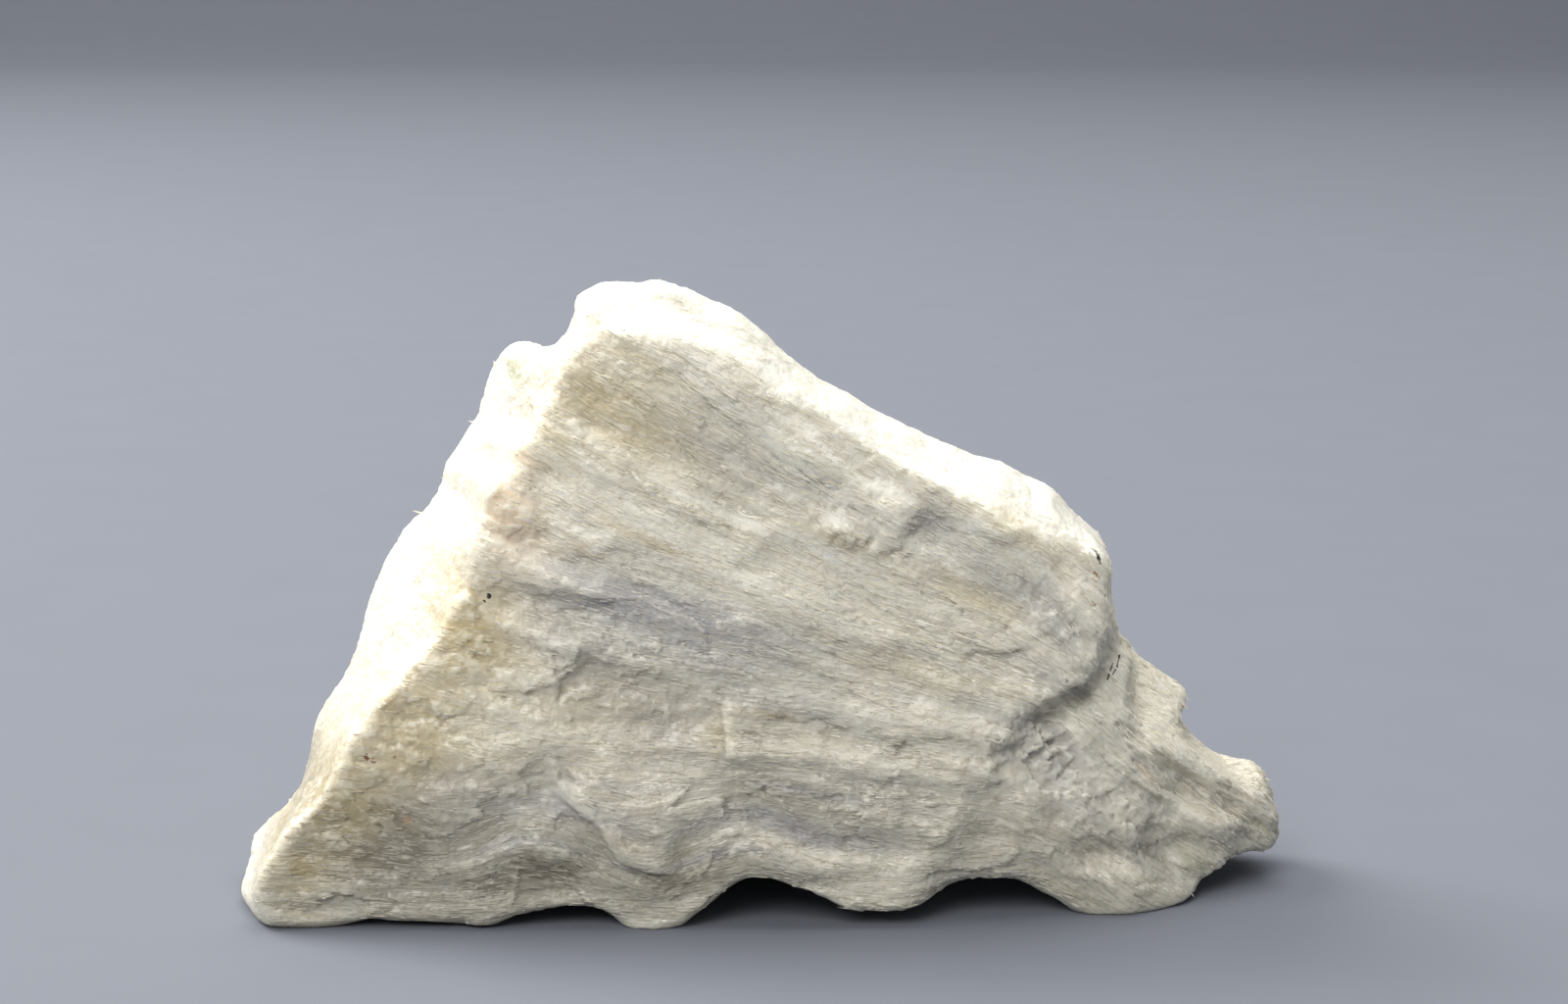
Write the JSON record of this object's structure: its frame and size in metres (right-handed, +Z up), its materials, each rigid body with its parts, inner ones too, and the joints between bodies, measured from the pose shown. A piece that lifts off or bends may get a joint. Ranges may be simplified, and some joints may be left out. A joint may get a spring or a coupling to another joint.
{
  "type": "wollastonite mineral specimen",
  "caption": "Broken wedge-shaped piece of massive fibrous white mineral, standing on its lower edge, with a slanting crest, a stepped right end and a low snout.",
  "frame": {"origin": "on the supporting surface, under the middle of the bounding box", "axes": "+X to the right along the main face, +Y from the main face to the back, +Z up"},
  "size_m": [0.1044, 0.036, 0.0616],
  "materials": {
    "wollastonite": "silky to satin, slightly translucent splintery break"
  },
  "bodies": {
    "root": {"wollastonite_mass": "wollastonite"}
  },
  "joints": []
}
